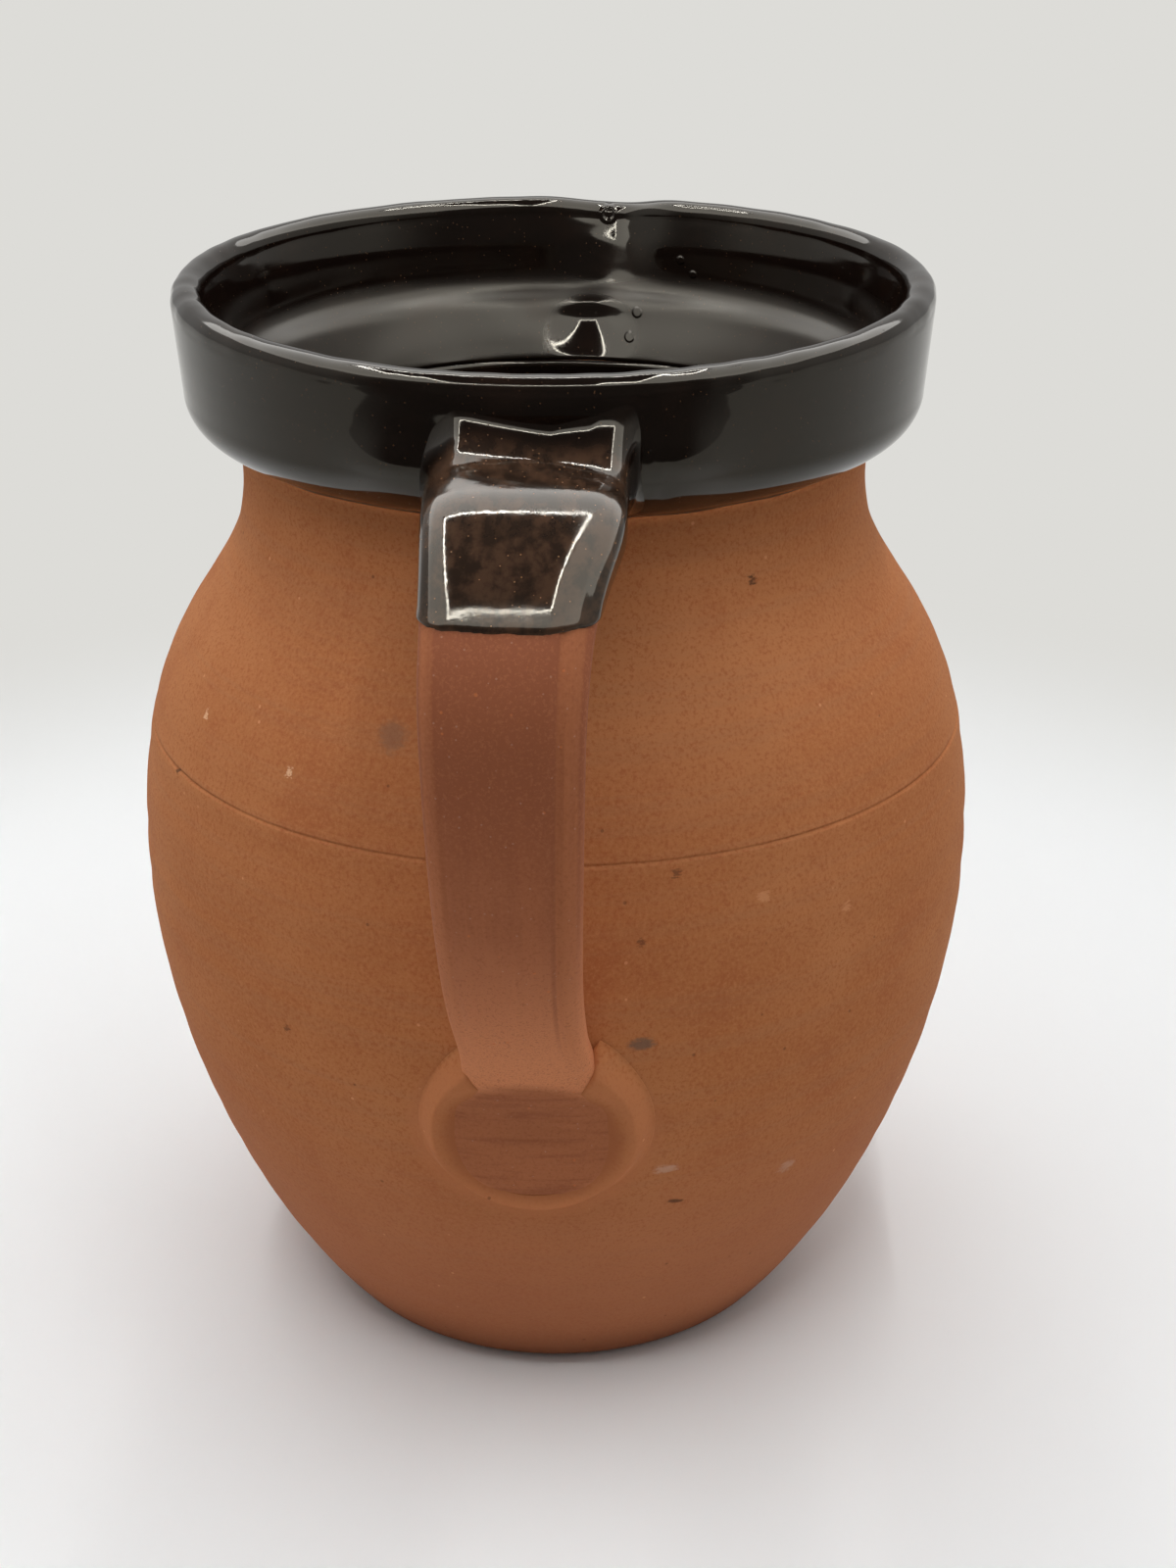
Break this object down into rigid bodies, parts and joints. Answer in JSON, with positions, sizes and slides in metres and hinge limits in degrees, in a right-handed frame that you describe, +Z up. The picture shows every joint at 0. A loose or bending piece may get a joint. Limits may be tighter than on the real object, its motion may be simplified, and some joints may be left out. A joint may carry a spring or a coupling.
{
  "type": "jug",
  "caption": "Terracotta jug with a swelling body, a thick dark-glazed collar with a pulled pouring lip, and a strap handle pressed onto the belly.",
  "frame": {"origin": "middle of the flat base, on the throwing axis, where the jug stands", "axes": "+Z up along the throwing axis, handle towards -Y, pouring lip close to +Y, +X to the right of the handle seen from outside it"},
  "size_m": [0.156, 0.1873, 0.1999],
  "materials": {
    "terracotta": "matt unglazed red earthenware with fine throwing marks",
    "strap_clay": "matt unglazed earthenware, browner, with lengthwise pulling marks",
    "glaze": "glossy near-black treacle-brown glaze with brown speckle"
  },
  "bodies": {
    "root": {"body": "terracotta", "rim_collar": "terracotta", "handle": "strap_clay", "upper_luting": "terracotta", "lower_luting": "terracotta", "lining_glaze": "glaze", "collar_glaze": "glaze", "handle_glaze": "glaze"}
  },
  "joints": []
}
